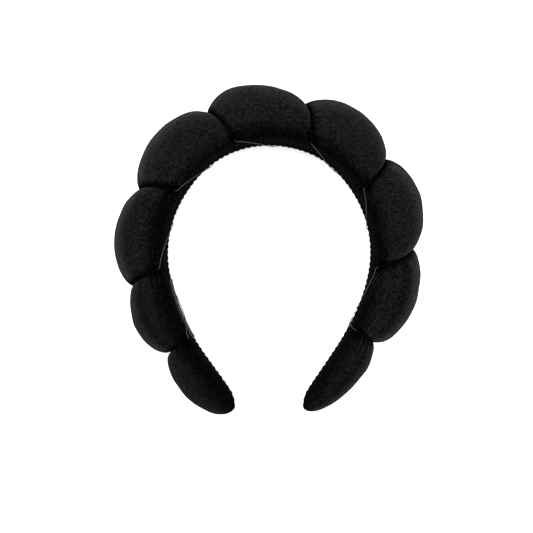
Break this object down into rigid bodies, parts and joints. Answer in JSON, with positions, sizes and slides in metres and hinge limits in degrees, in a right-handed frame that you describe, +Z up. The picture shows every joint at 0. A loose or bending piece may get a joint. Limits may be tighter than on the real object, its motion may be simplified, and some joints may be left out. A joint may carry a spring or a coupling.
{
  "type": "padded headband",
  "caption": "Velvet-covered padded headband, tied by a fine binding thread into a row of plump slanting puffs, with a ribbed ribbon on the inside and open ends behind the ears.",
  "frame": {"origin": "on the surface that the band lies on, under the middle of its outline", "axes": "+Z up, across the band from its back face to its front face; +Y from the open ends to the crown; +X to the right, seen from above"},
  "size_m": [0.1848, 0.1982, 0.0443],
  "materials": {
    "velvet": "short cut pile",
    "ribbon": "ribbed weave",
    "satin": "smooth satin weave",
    "nylon": "fine smooth thread"
  },
  "bodies": {
    "root": {"padding": "velvet", "lining": "ribbon", "label": "satin", "thread": "nylon"}
  },
  "joints": []
}
